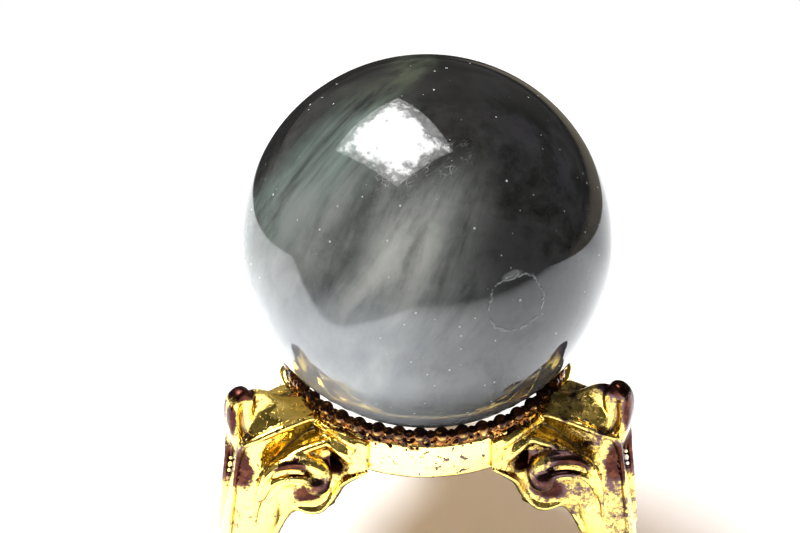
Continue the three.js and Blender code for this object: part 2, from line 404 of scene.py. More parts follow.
def blend(share, first, second):
    """A value between two others."""
    return add_node("ShaderNodeMix", {0: share, 2: first, 3: second}).outputs[0]


def mix_colours(share, first, second):
    inputs = {0: share, 6: first, 7: second}
    return add_node("ShaderNodeMix", inputs, data_type="RGBA").outputs[2]


def tinted(colour, *factors):
    return [part * factor for part, factor in zip(colour, factors)]


def object_place(tree):
    return add_node("ShaderNodeTexCoord", {}, tree).outputs["Object"]


def part_of(vector, axis):
    return add_node("ShaderNodeSeparateXYZ", {"Vector": vector}).outputs[axis]


def distance_between(first, second=(0, 0, 0)):
    inputs = {0: first, 1: second}
    return add_node("ShaderNodeVectorMath", inputs, operation="DISTANCE").outputs["Value"]


def mapped(vector, move=(0, 0, 0), turn=(0, 0, 0), scale=(1, 1, 1)):
    """A pattern's place scaled, turned and moved."""
    inputs = {"Vector": vector, "Location": move, "Rotation": turn, "Scale": scale}
    return add_node("ShaderNodeMapping", inputs).outputs[0]


def noise_of(vector, scale, detail=3.0, roughness=0.5, distortion=0.0):
    inputs = {
        "Vector": vector,
        "Scale": scale,
        "Detail": detail,
        "Roughness": roughness,
        "Distortion": distortion,
    }
    return add_node("ShaderNodeTexNoise", inputs).outputs["Fac"]


def new_material(name, plain):
    """A material whose shader has the given plain values."""
    material = bpy.data.materials.new(name)
    material.use_nodes = True
    tree = material.node_tree
    shader = tree.nodes["Principled BSDF"]
    set_inputs(shader, plain)
    return material, tree, shader


def cover(shader, colour, height, strength, distance):
    """Gives a shader its colour and its fine relief."""
    bump = add_node("ShaderNodeBump", {"Height": height, "Strength": strength, "Distance": distance})
    set_inputs(shader, {"Base Color": colour, "Normal": bump.outputs[0]})


def new_group(name, inputs, output):
    """A shader node group that puts out one number. An input without a default is a vector."""
    tree = bpy.data.node_groups.new(name, "ShaderNodeTree")
    for title, value in inputs.items():
        kind = "NodeSocketVector" if value is None else "NodeSocketFloat"
        socket = tree.interface.new_socket(title, in_out="INPUT", socket_type=kind)
        if value is not None:
            socket.default_value = value
    tree.interface.new_socket(output, in_out="OUTPUT", socket_type="NodeSocketFloat")
    start, end = tree.nodes.new("NodeGroupInput"), tree.nodes.new("NodeGroupOutput")
    return tree, start.outputs, end.inputs[output]


def cast_surface_group():
    """The uneven skin of polished cast metal: a slow wave, fine file marks and small pits."""
    if "Cast Surface" in bpy.data.node_groups:
        return bpy.data.node_groups["Cast Surface"]
    tree, given, result = new_group("Cast Surface", {"Vector": None, "Pits": 0.5}, "Height")
    where = given["Vector"]
    wave = noise_of(where, 420, 2)
    marks = noise_of(mapped(where, turn=(0.6, 0.5, 0.4), scale=(500, 9000, 9000)), 1, 1)
    pit = step_between(noise_of(where, 2600, 2), 0.34, 0.26)
    ripple = noise_of(where, 1300, 3, 0.6)
    height = weighted(marks, 0.06, weighted(ripple, 0.3, wave))
    depth = product(pit, given["Pits"])
    tree.links.new(calculate("SUBTRACT", height, depth), result)
    return tree


def tarnish_group():
    """Where the gilding has gone: in marked places, on high ridges and in small spots; crevices are
    darkened in the same colour.
    """
    if "Tarnish" in bpy.data.node_groups:
        return bpy.data.node_groups["Tarnish"]
    inputs = {"Vector": None, "Ridge": 0.5, "Ridge Wear": 1.0, "Place": 0.0, "Bloom": 0.5, "Spots": 0.5}
    tree, given, result = new_group("Tarnish", inputs, "Mask")
    where = given["Vector"]
    patches = noise_of(where, 230, 4, 0.65)
    grit = noise_of(where, 1700, 4, 0.7)
    ridge = weighted(grit, 0.3, weighted(patches, 1.2, given["Ridge"]))
    ridge = step_between(ridge, 1.68, 1.84)
    # Crevices are darkened in the tarnish colour
    crevice = step_between(weighted(grit, 0.15, given["Ridge"]), 0.4, 0.27)
    worn = product(calculate("MAXIMUM", ridge, crevice), given["Ridge Wear"])
    bloom = weighted(given["Place"], 0.85, weighted(grit, 0.6, patches))
    bloom = step_between(weighted(given["Bloom"], 0.3, bloom), 1.0, 1.22)
    spots = step_between(noise_of(where, 950, 2, 0.6), 0.62, 0.68)
    mask = calculate("MAXIMUM", worn, bloom)
    mask = calculate("MAXIMUM", mask, product(spots, given["Spots"]), clamp=True)
    tree.links.new(mask, result)
    return tree


def gold_material(name, gold, tarnish, ridge_wear, bloom, spots):
    """Gilding over cast metal, worn to a red-brown tarnish, more so at the right, where the extra
    darkening is partly painted shade.
    """
    material, tree, shader = new_material(name, {"Metallic": 1})
    where = object_place(tree)
    ridge, place = [
        add_node("ShaderNodeAttribute", {}, tree, attribute_name=mark).outputs["Fac"]
        for mark in ("ridge", "bloom")
    ]
    # More tarnish towards +X, the side away from the key lamp: partly the legs' own tarnish, partly
    # painted shade
    share = step_between(part_of(where, "X"), -0.012, 0.02)
    wear = {
        "Vector": where,
        "Ridge": ridge,
        "Ridge Wear": ridge_wear,
        "Place": place,
        "Bloom": weighted(share, 0.62, bloom),
        "Spots": spots,
    }
    mask = add_node("ShaderNodeGroup", wear, node_tree=tarnish_group()).outputs["Mask"]
    plate = mix_colours(noise_of(where, 260, 3), tinted(gold, 0.94, 0.88, 0.7), gold)
    speckle = step_between(noise_of(where, 900, 4), 0.42, 0.7)
    inner = mix_colours(speckle, tinted(tarnish, 0.4, 0.22, 0.18), tinted(tarnish, 1, 0.6, 0.3))
    stain = mix_colours(step_between(place, 0.15, 0.5), tarnish, inner)
    tree.links.new(weighted(mask, 0.16, 0.08), shader.inputs["Roughness"])
    skin = add_node("ShaderNodeGroup", {"Vector": where, "Pits": 0.6}, node_tree=cast_surface_group())
    height = weighted(mask, -0.3, skin.outputs["Height"])
    cover(shader, mix_colours(mask, plate, stain), height, 0.6, 0.0002)
    return material


# Stage. Lengths are in metres.


WHITE = (1, 1, 1)
PAPER = (0.93, 0.93, 0.93)
PAPER_SIZE = 2.0
DARK_WALL = (0.03, 0.03, 0.03)
BROWN_WALL = (0.3, 0.27, 0.2)
# A painted warm glow, as of light bounced off the gold, that shows in the paper's shadow near the stand
PAINTED_BOUNCE_GLOW = (0.19, 0.08, 0.0)

# The paper as polished surfaces mirror it. Each edge fades between two places.
SHEET_BACK = (0.15, 0.135)
SHEET_FRONT = (-0.85, -0.15)
SHEET_REACH = (1.2, 0.2)
CORNER_FRONT = (-0.064, -0.091)
CORNER_SIDE = (-0.078, -0.104)
# Under the ring the mirrored paper loses its glow: a painted shadow
PAINTED_SHADOW_UNDER_RING = (0.014, 0.026)

# The lamps: where they stand as seen from the ball, how large they are and how far away
KEY_DIRECTION = (-0.34, 0.33, 0.88)
KEY_SIZE = (0.2, 0.2)
SOFTBOX_DIRECTION = (-0.275, 0.145, 0.95)
SOFTBOX_SIZE = (0.52, 0.41)
SOFTBOX_ROLL = math.radians(60)
LAMP_DISTANCE = 0.55

# The camera's frame: width in pixels, and how far the ball's middle stands right of and above its middle
FRAME_WIDTH = 800
BALL_RIGHT = 26.4
BALL_ABOVE = 25.2


def view_axes():
    """The right, up and towards-the-viewer directions of the camera."""
    az, el = VIEW_AZIMUTH, VIEW_ELEVATION
    towards = Vector((math.sin(az) * math.cos(el), -math.cos(az) * math.cos(el), math.sin(el)))
    right = Vector((math.cos(az), math.sin(az), 0))
    return right, towards.cross(right), towards


def glow(tree, colour, strength=1.0):
    return add_node("ShaderNodeEmission", {"Color": colour, "Strength": strength}, tree).outputs[0]


def add_shaders(first, second):
    return add_node("ShaderNodeAddShader", {0: first, 1: second}).outputs[0]


def mix_shaders(share, first, second):
    return add_node("ShaderNodeMixShader", {0: share, 1: first, 2: second}).outputs[0]


def floor_material():
    """White paper: plain to light, white to the camera, and a bright sheet in a dark room to gloss."""
    plain = {"Base Color": PAPER, "Roughness": 1, "Specular IOR Level": 0}
    material, tree, shader = new_material("white_paper", plain)
    paper = shader.outputs[0]
    where = object_place(tree)
    x, y = part_of(where, "X"), part_of(where, "Y")
    from_axis = distance_between(where, AXIS)

    # The sheet's back edge turns away at both sides, and its front left corner is covered
    right = calculate("MAXIMUM", calculate("SUBTRACT", x, 0.1), 0)
    left = calculate("MAXIMUM", calculate("SUBTRACT", -0.15, x), 0)
    back = weighted(right, 0.55, weighted(left, 0.35, y))
    corner = product(step_between(y, *CORNER_FRONT), step_between(x, *CORNER_SIDE))
    sheet = calculate("SUBTRACT", step_between(back, *SHEET_BACK), corner, clamp=True)
    front = step_between(y, *SHEET_FRONT)
    # No bright sheet under the ring: a painted shadow in the reflection
    outside_painted_shadow = step_between(from_axis, *PAINTED_SHADOW_UNDER_RING)
    sheet = product(sheet, front, outside_painted_shadow, step_between(from_axis, *SHEET_REACH))
    brown = product(step_between(x, 0.03, 0.08), step_between(from_axis, 0.7, 0.35))
    wall = glow(tree, mix_colours(brown, DARK_WALL, BROWN_WALL))

    # The sheet is brightest at the left and less bright behind the stand; under the stand its glow is
    # taken away, a painted shadow in the reflection
    sides = {"Value": x, "From Min": -0.08, "From Max": 0.1, "To Min": 2.6, "To Max": 1.75}
    level = add_node("ShaderNodeMapRange", sides).outputs[0]
    behind = weighted(step_between(y, 0.02, 0.065), -0.6, 1)
    level = product(level, step_between(from_axis, 0.02, 0.05), behind)
    lit = add_shaders(paper, glow(tree, (0.94, 0.97, 1), level))
    in_gloss = mix_shaders(sheet, wall, lit)

    # The camera sees white paper with the object's shadow, which a painted warm glow near the stand tints
    # brown, as if light bounced off the gold
    paper_with_painted_bounce = add_shaders(paper, glow(tree, PAINTED_BOUNCE_GLOW))
    to_camera = mix_shaders(step_between(from_axis, 0.08, 0.2), paper_with_painted_bounce, glow(tree, WHITE))
    path = add_node("ShaderNodeLightPath", {}, tree).outputs
    direct = calculate("MAXIMUM", path["Is Camera Ray"], path["Is Transmission Ray"])
    other = mix_shaders(path["Is Glossy Ray"], paper, in_gloss)
    final = mix_shaders(direct, other, to_camera)
    tree.links.new(final, tree.nodes["Material Output"].inputs["Surface"])
    return material


def room_world(strength):
    """An even room: white behind the object, dark in reflections and a little lighter at the left."""
    world = bpy.data.worlds.new("room")
    bpy.context.scene.world = world
    world.use_nodes = True
    tree = world.node_tree
    plain = tree.nodes["Background"]
    set_inputs(plain, {"Color": (0.95, 0.97, 1), "Strength": strength})
    white = add_node("ShaderNodeBackground", {"Color": WHITE, "Strength": 1}, tree)
    direction = add_node("ShaderNodeTexCoord", {}, tree).outputs["Generated"]
    lean = step_between(part_of(direction, "X"), 0.6, -0.9)
    walls = mix_colours(lean, (0.11, 0.108, 0.105), (0.3, 0.295, 0.28))
    cloudy = step_between(noise_of(direction, 2.2, 2), 0.3, 0.6)
    walls = mix_colours(cloudy, (0.035, 0.034, 0.033), walls)
    room = add_node("ShaderNodeBackground", {"Color": walls, "Strength": 1})
    path = add_node("ShaderNodeLightPath", {}, tree).outputs
    inner = mix_shaders(path["Is Glossy Ray"], plain.outputs[0], room.outputs[0])
    final = mix_shaders(path["Is Camera Ray"], inner, white.outputs[0])
    tree.links.new(final, tree.nodes["World Output"].inputs["Surface"])


def add_lamp(name, direction, size, power):
    """A rectangular lamp that faces the ball."""
    light = bpy.data.lights.new(name, "AREA")
    light.shape = "RECTANGLE"
    light.size, light.size_y = size
    light.energy = power
    lamp = bpy.data.objects.new(name, light)
    direction = Vector(direction).normalized()
    lamp.location = BALL_CENTRE + direction * LAMP_DISTANCE
    lamp.rotation_euler = direction.to_track_quat("Z", "Y").to_euler()
    bpy.context.scene.collection.objects.link(lamp)
    return lamp


def soften_lamp(lamp):
    """A hard-edged bright middle and a mottled veil round it, as a softbox shows in polished stone."""
    lamp.data.use_nodes = True
    tree = lamp.data.node_tree
    place = add_node("ShaderNodeNewGeometry", {}, tree).outputs["Parametric"]
    across, along = [
        calculate("ABSOLUTE", calculate("SUBTRACT", part_of(place, axis), 0.5))
        for axis in ("X", "Y")
    ]
    edge = calculate("SUBTRACT", calculate("MAXIMUM", across, along), 0.36)
    uneven = noise_of(place, 5, 4, 0.65)
    core = step_between(weighted(uneven, 0.75, edge), 0.5, 0.22)
    veil = product(step_between(uneven, 0.3, 0.7), 0.2)
    level = calculate("MAXIMUM", core, veil)
    tree.links.new(level, tree.nodes["Emission"].inputs["Strength"])


class ORNAMENT_OT_stage(bpy.types.Operator):
    """Adds the camera, the lamps and the white paper"""

    bl_idname = "ornament.stage"
    bl_label = "Stage"

    def execute(self, context):
        settings = context.scene.ornament_stage
        scene = context.scene
        scene.view_settings.view_transform = "Standard"
        camera = bpy.data.cameras.new("camera")
        camera.lens = settings.focal_length
        camera.sensor_width = 36
        camera.clip_start = 0.01
        holder = bpy.data.objects.new("camera", camera)
        scene.collection.objects.link(holder)
        scene.camera = holder
        right, up, towards = view_axes()
        focal_pixels = settings.focal_length / camera.sensor_width * FRAME_WIDTH
        sight = Vector((BALL_RIGHT / focal_pixels, BALL_ABOVE / focal_pixels, -1)).normalized()
        offset = right * sight.x + up * sight.y + towards * sight.z
        holder.location = BALL_CENTRE - offset * settings.camera_distance
        holder.rotation_euler = (math.pi / 2 - VIEW_ELEVATION, 0, VIEW_AZIMUTH)
        key = add_lamp("key", KEY_DIRECTION, KEY_SIZE, settings.key_power)
        key.visible_glossy = False
        softbox = add_lamp("softbox", SOFTBOX_DIRECTION, SOFTBOX_SIZE, settings.softbox_power)
        softbox.rotation_euler.rotate_axis("Z", SOFTBOX_ROLL)
        softbox.visible_diffuse = False
        soften_lamp(softbox)
        room_world(settings.room_light)
        shape = bmesh.new()
        bmesh.ops.create_grid(shape, x_segments=1, y_segments=1, size=PAPER_SIZE)
        sheet = mesh_of(shape, "paper")
        sheet.materials.append(floor_material())
        paper = bpy.data.objects.new("paper", sheet)
        scene.collection.objects.link(paper)
        return {"FINISHED"}


# Ball. The pattern's place is counted in ball radii: u right, v up and w towards the viewer.


def turned_to(vector, degrees):
    """The pattern's place turned about the line of sight."""
    return mapped(vector, turn=(0, 0, math.radians(degrees)))


def bent(vector, scale):
    """The pattern's place with small shifts, which bend the lines of a pattern."""
    shift = add_node("ShaderNodeTexNoise", {"Vector": vector, "Scale": scale, "Detail": 2})
    shift = mapped(shift.outputs["Color"], scale=(0.06, 0.06, 0.06))
    moved = add_node("ShaderNodeVectorMath", {0: vector, 1: shift}, operation="ADD")
    return moved.outputs[0]


def stone_material(settings):
    """Smoky stone: a silky green-grey band, pale wisps, threads, sparkles and a ring crack."""
    material, tree, shader = new_material("polished_stone", {"IOR": 1.55})
    turn = Matrix(view_axes())
    size = 1 / settings.radius
    where = mapped(
        object_place(tree),
        move=-(turn @ BALL_CENTRE) * size,
        turn=turn.to_euler("XYZ"),
        scale=(size, size, size),
    )
    u, v = part_of(where, "X"), part_of(where, "Y")
    cloud_noise = noise_of(where, 2.6, 6, 0.62, 0.4)
    fine_noise = noise_of(where, 9, 5, 0.68, 0.3)
    drift = calculate("SUBTRACT", noise_of(where, 1.9, 3), 0.5)

    mottle = weighted(fine_noise, 0.5, cloud_noise)
    smoky = product(step_between(mottle, 0.58, 0.95), step_between(v, 1.0, 0.2))
    body = mix_colours(smoky, settings.smoke, tinted(settings.smoke, 4.8, 4.8, 4.8))
    # A paler body in the lower part: partly the stone's cloud, partly painted reflection of the white
    # floor
    lower = product(step_between(v, 0.3, -0.1), step_between(mottle, 0.5, 0.85), 0.5)
    body = mix_colours(lower, body, (0.085, 0.085, 0.08))

    # The silky band at the upper left, its fibres from the upper right to the lower left
    along = turned_to(where, -49)
    run, across = part_of(along, "X"), part_of(along, "Y")
    silk = noise_of(mapped(along, scale=(1.3, 26, 12)), 1, 4, 0.6, 0.2)
    strand = noise_of(mapped(along, scale=(0.8, 8, 6)), 1, 3, 0.5, 0.3)
    fibres = step_between(weighted(strand, 0.7, product(silk, 0.5)), 0.38, 0.8)
    place = weighted(drift, 0.35, across)
    narrow = step_between(run, 0.1, 0.6)
    rise = blend(narrow, step_between(place, 0.3, 0.62), step_between(place, 0.57, 0.68))
    fall = blend(narrow, step_between(place, 0.9, 0.7), step_between(place, 0.82, 0.74))
    green = mix_colours(step_between(v, 0.55, 0.8), settings.fibre, settings.moss)
    body = mix_colours(product(rise, fall, fibres), body, green)

    # Haze over the middle and the left, streaked like the band
    wisp = noise_of(mapped(turned_to(where, -62), scale=(1.2, 6.5, 4)), 1, 5, 0.62, 0.5)
    streak = step_between(weighted(fine_noise, 0.25, wisp), 0.38, 0.86)
    inwards = weighted(drift, 0.4, u)
    haze = product(
        step_between(inwards, 0.4, 0.08),
        step_between(v, 0.5, 0.12),
        step_between(across, 0.85, 0.45),
        weighted(streak, 0.75, 0.22),
        clamp=True,
    )
    body = mix_colours(haze, body, settings.haze)

    # A bright ridge of cloud from the middle down to the lower left, only in the lower part: partly the
    # stone's pale cloud, partly painted light standing in for light from the front
    off_ridge = part_of(turned_to(where, -60.5), "Y")
    off_ridge = calculate("SUBTRACT", weighted(drift, 0.3, off_ridge), 0.07)
    off_ridge = calculate("ABSOLUTE", off_ridge)
    widening = weighted(v, -0.16, 0.13)
    ridge = step_between(calculate("SUBTRACT", off_ridge, widening), 0.08, -0.08)
    lit_part = step_between(v, 0.3, -0.15)
    ridge = product(ridge, lit_part, weighted(streak, 0.85, 0.32), clamp=True)
    body = mix_colours(ridge, body, settings.cloud_with_painted_light)

    # Blue-grey cloud at the lower left and a thin one over the rest of the lower half: partly the stone's
    # cloud, partly painted reflection of the white floor
    low_left_cloud_and_painted_reflection = product(
        step_between(v, -0.15, -0.5),
        step_between(inwards, 0.2, -0.35),
        weighted(cloud_noise, 0.8, 0.35),
        clamp=True,
    )
    body = mix_colours(product(low_left_cloud_and_painted_reflection, 0.9), body, (0.46, 0.49, 0.53))
    low = product(step_between(v, -0.2, -0.6), step_between(cloud_noise, 0.25, 0.8), 0.5)
    body = mix_colours(low, body, (0.19, 0.2, 0.215))

    # A violet tint at the right
    tint = product(step_between(u, 0.15, 0.6), step_between(cloud_noise, 0.4, 0.65), 0.55)
    body = mix_colours(tint, body, (0.028, 0.025, 0.037))

    # A web of fine white threads at the lower edge of the softbox's highlight, painted bright as a glint
    # of that light, and sparkles
    thread_glint_frame = mapped(
        where, move=(-0.3, -0.98, -1.6), turn=(0, 0, math.radians(-25)), scale=(3.1, 3.1, 1.8)
    )
    from_thread_glint = distance_between(mapped(thread_glint_frame, scale=(1, 2.2, 1)))
    thread_glint_place = step_between(weighted(fine_noise, 0.6, from_thread_glint), 1.35, 0.7)
    threads = mapped(turned_to(bent(where, 7), -35), scale=(16, 54, 30))
    cells = add_node(
        "ShaderNodeTexVoronoi", {"Vector": threads, "Scale": 1}, feature="DISTANCE_TO_EDGE"
    )
    thread_glint = step_between(cells.outputs["Distance"], 0.075, 0.01)
    torn = step_between(noise_of(where, 16, 3), 0.42, 0.66)
    body = mix_colours(product(thread_glint, torn, thread_glint_place, 0.42), body, (0.6, 0.6, 0.57))
    grains = add_node("ShaderNodeTexVoronoi", {"Vector": where, "Scale": 17}).outputs
    chance, chance_of_size = [part_of(grains["Color"], axis) for axis in ("X", "Y")]
    spread = calculate("SUBTRACT", grains["Distance"], weighted(chance_of_size, 0.09, 0.03))
    chosen = step_between(weighted(cloud_noise, 0.8, chance), 0.75, 0.85)
    sparkle = product(step_between(spread, 0.02, -0.02), chosen, 0.8)
    body = mix_colours(sparkle, body, (0.8, 0.8, 0.78))

    # The ring crack and the chip at its top
    wobble = weighted(noise_of(where, 11, 4, 0.6), 0.07, -0.035)
    from_crack = distance_between(where, (0.434, -0.318, 0.845))
    ring = calculate("ADD", calculate("SUBTRACT", from_crack, 0.152), wobble)
    ring = step_between(calculate("ABSOLUTE", ring), 0.009, 0.002)
    crack = product(ring, step_between(noise_of(where, 30, 3, 0.6), 0.42, 0.56))
    chip_frame = mapped(where, move=(-0.309, 0.321, -0.895), turn=(0, 0, math.radians(-23)))
    from_chip = distance_between(mapped(chip_frame, scale=(1, 2.8, 1)))
    from_chip = weighted(wobble, 1.2, from_chip)
    chip = product(step_between(from_chip, 0.07, 0.045), step_between(fine_noise, 0.3, 0.6))
    flaw = calculate("MAXIMUM", crack, chip)
    body = mix_colours(product(flaw, 0.34), body, (0.5, 0.5, 0.48))
    tree.links.new(weighted(flaw, 0.27, 0.03), shader.inputs["Roughness"])
    relief = weighted(noise_of(where, 60, 2), 0.02, flaw)
    cover(shader, body, relief, 0.3, 0.0002)
    return material


class ORNAMENT_OT_ball(bpy.types.Operator):
    """Makes the polished stone ball"""

    bl_idname = "ornament.ball"
    bl_label = "Stone Ball"

    def execute(self, context):
        settings = context.scene.ornament_ball
        shape = bmesh.new()
        bmesh.ops.create_icosphere(
            shape, subdivisions=7, radius=settings.radius, matrix=Matrix.Translation(BALL_CENTRE)
        )
        mesh = mesh_of(shape, "stone_ball")
        stone = stone_material(settings)
        add_piece("stone_ball", mesh, "gem_sphere", "sphere", stone)
        return {"FINISHED"}


# Ring and beads


def rounded_outline(corners, radius, steps=4):
    """A closed outline with each corner given as a point, rounded off."""
    outline = []
    for index, corner in enumerate(corners):
        here = Vector(corner)
        before = Vector(corners[index - 1]) - here
        after = Vector(corners[(index + 1) % len(corners)]) - here
        reach = min(radius, before.length / 2, after.length / 2)
        start = here + before.normalized() * reach
        end = here + after.normalized() * reach
        for step in range(steps + 1):
            share = step / steps
            outline.append(start.lerp(here, share).lerp(here.lerp(end, share), share))
    return outline


def spin_round(shape, parts, angle, steps, **settings):
    """Spins parts of a shape round the Z axis."""
    bmesh.ops.spin(
        shape, geom=parts, cent=(0, 0, 0), axis=(0, 0, 1), angle=angle, steps=steps, **settings
    )


def spun(outline, steps):
    """A ring body spun from an outline of radius and height pairs, in millimetres."""
    shape = bmesh.new()
    verts = [shape.verts.new((radius, 0, height)) for radius, height in outline]
    edges = [shape.edges.new((verts[i - 1], verts[i])) for i in range(len(verts))]
    spin_round(shape, verts + edges, 2 * math.pi, steps, use_merge=True)
    bmesh.ops.remove_doubles(shape, verts=shape.verts, dist=0.0005)
    bmesh.ops.recalc_face_normals(shape, faces=shape.faces)
    return shape


# The band, in millimetres: how far its edges lie back, how round they are, the depth of the uneven
# shoulder below its top, and how steeply that sets in
BAND_LEAN = 0.15
BAND_ROUNDING = 0.55
SHOULDER_DEPTH = 1.2
SHOULDER_RISE = 1.0


class ORNAMENT_OT_ring(bpy.types.Operator):
    """Makes the plain band under the ball, with an uneven shoulder"""

    bl_idname = "ornament.ring"
    bl_label = "Ring"

    def execute(self, context):
        settings = context.scene.ornament_ring
        outer = settings.radius / MM
        inner = outer - settings.wall / MM
        low, high = RING_LOW.z / MM, RING_HIGH.z / MM
        corners = [
            (inner, low),
            (outer - BAND_LEAN, low),
            (outer, (low + high) / 2),
            (outer - BAND_LEAN, high),
            (inner, high),
        ]
        shape = spun(rounded_outline(corners, BAND_ROUNDING, 8), 300)
        for vert in shape.verts:
            across = Vector((vert.co.x, vert.co.y, 0)).normalized()
            shoulder = max(0, min(1, (vert.co.z - high + SHOULDER_DEPTH) / SHOULDER_RISE))
            rough = noise.noise(vert.co * 0.9) * 0.10 + noise.noise(vert.co * 2.6) * 0.06
            slow = noise.noise(vert.co * 0.35) * 0.05
            vert.co += across * (rough * shoulder + slow)
            vert.co.z += rough * 0.8 * shoulder
        shape.transform(leg_place(0))
        mesh = mesh_of(shape, "ring_band")
        mark_ridges(mesh, RING_RELIEF)
        tarnish = context.scene.ornament_legs.tarnish
        material = gold_material(
            "gold_band", (1.0, 0.8, 0.3), tarnish, ridge_wear=0.0, bloom=0.12, spots=1.0
        )
        add_piece("ring_band", mesh, "seat_ring", "stand", material)
        return {"FINISHED"}


def bead_material():
    """Dark brown tarnish with a red glow in its lumps, and gilding left on the outermost ones."""
    material, tree, shader = new_material("tarnished_beads", {"Metallic": 1, "Roughness": 0.22})
    where = object_place(tree)
    low = step_between(part_of(where, "Z"), 0.0332, 0.0318)
    lumps = noise_of(where, 700, 4, 0.6)
    rust = product(weighted(low, 0.7, 0.3), step_between(lumps, 0.42, 0.62))
    body = mix_colours(rust, (0.036, 0.016, 0.014), (0.34, 0.13, 0.03))
    # Amber painted glints: small specks painted bright as if they caught the light
    glint = step_between(noise_of(where, 1600, 2), 0.61, 0.7)
    body = mix_colours(glint, body, (0.6, 0.34, 0.08))
    reach = distance_between(mapped(where, scale=(1, 1, 0)), AXIS)
    reach = weighted(lumps, 0.0006, reach)
    bare = product(step_between(reach, 0.01995, 0.0202), low)
    body = mix_colours(bare, body, (1.0, 0.76, 0.25))
    cover(shader, body, lumps, 0.5, 0.0002)
    return material


# The beads, in millimetres: the corners of their carrier, as reach from the beads' circle and height
# above its underside; the fillers between two beads, with their distance from the circle, height and
# radius; the number of small lumps for each bead; and the grain of the casting
CARRIER = ((-0.62, 0.02), (0.66, 0.02), (0.6, 0.75), (-0.6, 0.75))
FILLER_ASIDE = 0.3
FILLER_HEIGHT = 1.3
FILLER_RADIUS = 0.55
LUMPS = 11
BEAD_GRAIN = 0.13


class ORNAMENT_OT_beads(bpy.types.Operator):
    """Makes the rim of small beads, fused to a lumpy carrier"""

    bl_idname = "ornament.beads"
    bl_label = "Bead Rim"

    def execute(self, context):
        settings = context.scene.ornament_ring
        base, top = BEADS_LOW.z / MM, BEADS_HIGH.z / MM
        radius = settings.bead_radius / MM
        circle = BEADS_HIGH.x / MM - radius
        chance = random.Random(7)
        carrier = [(circle + reach, base + height) for reach, height in CARRIER]
        shape = spun(rounded_outline(carrier, 0.3), 160)
        cell = bmesh.new()
        step = 2 * math.pi / settings.bead_count
        for bead in range(BEADS_IN_CELL):
            turn = step * bead
            centre = Vector((circle * math.cos(turn), circle * math.sin(turn), top - radius))
            knob(cell, centre, radius * chance.uniform(1.06, 1.1))
            lumps = [
                (turn + step / 2, circle + offset, base + FILLER_HEIGHT, FILLER_RADIUS)
                for offset in (-FILLER_ASIDE, FILLER_ASIDE)
            ]
            for _ in range(LUMPS):
                aside = turn + chance.uniform(-0.5, 0.5) * step
                reach = circle + chance.uniform(0.3, 0.72)
                lumps.append((aside, reach, base + chance.uniform(-0.7, 0.95), chance.uniform(0.18, 0.4)))
            for aside, reach, height, size in lumps:
                knob(cell, (reach * math.cos(aside), reach * math.sin(aside), height), size, detail=2)
        cells = settings.bead_count // BEADS_IN_CELL
        whole = cell.verts[:] + cell.edges[:] + cell.faces[:]
        spin_round(cell, whole, 2 * math.pi * (cells - 1) / cells, cells - 1, use_duplicate=True)
        beads = mesh_of(cell, "beads")
        shape.from_mesh(beads)
        bpy.data.meshes.remove(beads)
        mesh = evaluated_mesh(shape, "bead_rim", lambda carrier: fuse(carrier, BEAD_GRAIN, 2))
        mesh.transform(leg_place(0))
        mark_ridges(mesh, RING_RELIEF)
        add_piece("bead_ring", mesh, "bead_rim", "stand", bead_material())
        return {"FINISHED"}


# Legs. Lengths are in millimetres: reach from the ring's axis, side, and height.


def spine_rings():
    """The leg's body from the tip of the toe to the roll, a prow with a narrow outer edge."""
    stations = [
        [38, 2.0, 1, 2.4, 2.4],
        [37.2, 1.9, 3.6, 6, 6],
        [35, 1.6, 4.6, 6.4, 8],
        [32.7, 3.3, 4.8, 5, 8],
        [31.5, 6, 4.8, 4, 7.6],
        [30.9, 9, 5.1, 3, 8],
        [30.1, 12.2, 5.8, 3, 8.5],
        [29.4, 14.5, 6.3, 3, 9],
        [28.6, 18, 6.5, 3, 9],
        [27.9, 22, 6.3, 3, 8.4],
        [27.8, 25, 5.2, 3, 7],
        [28.1, 27.3, 4.3, 3, 5.4],
        [28.7, 29.3, 3.8, 3, 4],
        [29.2, 32.2, 3.8, 2.6, 2.6],
        [29.1, 35, 3.8, 2.6, 2.6],
        [28.5, 36.6, 3, 2, 2.2],
        [28.0, 37.3, 0.8, 1.2, 1.2],
    ]
    run = smooth_rows(stations, 4)
    rings = []
    for index, (reach, height, thick, edge, back) in enumerate(run):
        before, after = run[max(index - 1, 0)], run[min(index + 1, len(run) - 1)]
        outwards = Vector((after[1] - before[1], 0, before[0] - after[0])).normalized()
        half = thick / 2
        near = [
            [half, 0],
            [half * 0.97, edge * 0.3],
            [half * 0.8, edge * 0.5],
            [half * 0.25, edge * 0.25 + back * 0.25],
            [-half * 0.35, edge * 0.08 + back * 0.42],
            [-half * 0.8, back * 0.46],
            [-half, back * 0.3],
            [-half, 0],
        ]
        near = smooth_rows(near, 3)
        outline = near + [(across, -side) for across, side in near[-2:0:-1]]
        middle = Vector((reach, 0, height))
        rings.append([middle + outwards * across + Vector((0, side, 0)) for across, side in outline])
    return rings


